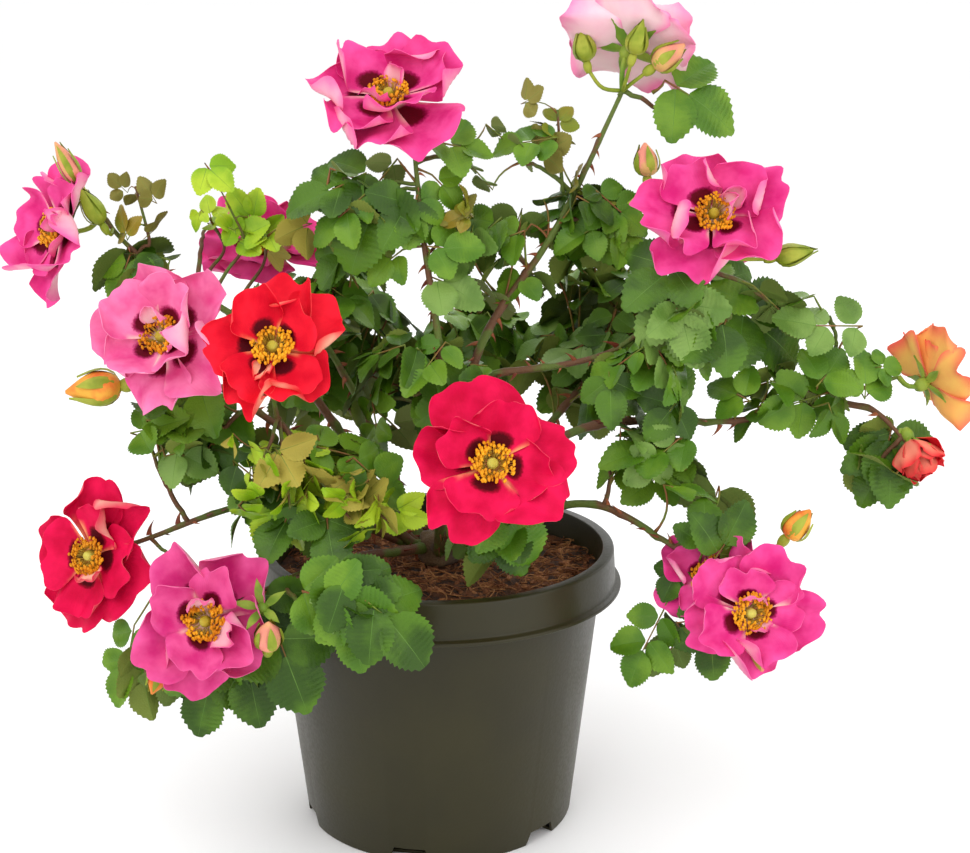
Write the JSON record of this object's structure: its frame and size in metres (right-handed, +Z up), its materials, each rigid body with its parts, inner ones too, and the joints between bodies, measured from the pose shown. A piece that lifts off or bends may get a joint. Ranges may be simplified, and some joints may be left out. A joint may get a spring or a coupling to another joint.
{
  "type": "potted rose bush",
  "caption": "Bushy flowering rose with arching thorny canes, serrate leaflets and wide open semi-double blooms, growing in a round plastic nursery pot.",
  "frame": {"origin": "middle of the pot's flat underside, on the surface that it stands on", "axes": "+Z up, +X to the right and +Y to the back, as seen from the plant's front"},
  "size_m": [0.4885, 0.2884, 0.4282],
  "materials": {
    "pot_plastic": "satin moulded plastic, dark olive grey",
    "growing_medium": "loose fibrous bark and coir",
    "old_bark": "rough grey-brown bark",
    "green_bark": "smooth green bark, red-brown at the nodes",
    "petals": "soft matt petals, pink, crimson and coral",
    "leaves": "semi-gloss leaflets, dark to fresh green"
  },
  "bodies": {
    "root": {"pot": "pot_plastic", "soil": "growing_medium", "crown_stem": "old_bark", "cane_top_right": "green_bark", "cane_top_centre": "green_bark", "cane_right_long": "green_bark", "cane_left_high": "green_bark", "cane_left_middle": "green_bark", "cane_behind_left": "green_bark", "cane_back_left": "green_bark", "cane_back_centre": "green_bark", "cane_back_right": "green_bark", "cane_low_left": "green_bark", "cane_front_left": "green_bark", "cane_low_right": "green_bark", "cane_front": "green_bark", "cane_right_high": "green_bark", "cane_left_front": "green_bark", "cane_right_low": "green_bark", "bloom_top_centre": "petals", "bloom_top_right": "petals", "bloom_right": "petals", "bloom_left_high": "petals", "bloom_left_pink": "petals", "bloom_left_red": "petals", "bloom_front_red": "petals", "bloom_low_left_red": "petals", "bloom_low_left_pink": "petals", "bloom_low_right": "petals", "bloom_low_right_behind": "petals", "bloom_behind_left": "petals", "bloom_far_right": "petals", "bloom_back_centre": "petals", "bloom_back_right": "petals", "foliage_top_centre": "leaves", "foliage_between_tops": "leaves", "foliage_top_right": "leaves", "foliage_upper_right": "leaves", "foliage_upper_middle": "leaves", "foliage_under_right_bloom": "leaves", "foliage_right_shoulder": "leaves", "foliage_right_middle": "leaves", "foliage_right_long": "leaves", "foliage_right_tip": "leaves", "foliage_right_low": "leaves", "foliage_centre": "leaves", "foliage_upper_left": "leaves", "foliage_left_back": "leaves", "foliage_left_high": "leaves", "foliage_left": "leaves", "foliage_left_low": "leaves", "foliage_rim_left": "leaves", "foliage_low_left": "leaves", "foliage_front": "leaves", "foliage_low_right": "leaves", "foliage_low_right_under": "leaves", "foliage_back_left": "leaves", "foliage_back_centre": "leaves", "foliage_back_right": "leaves"}
  },
  "joints": []
}
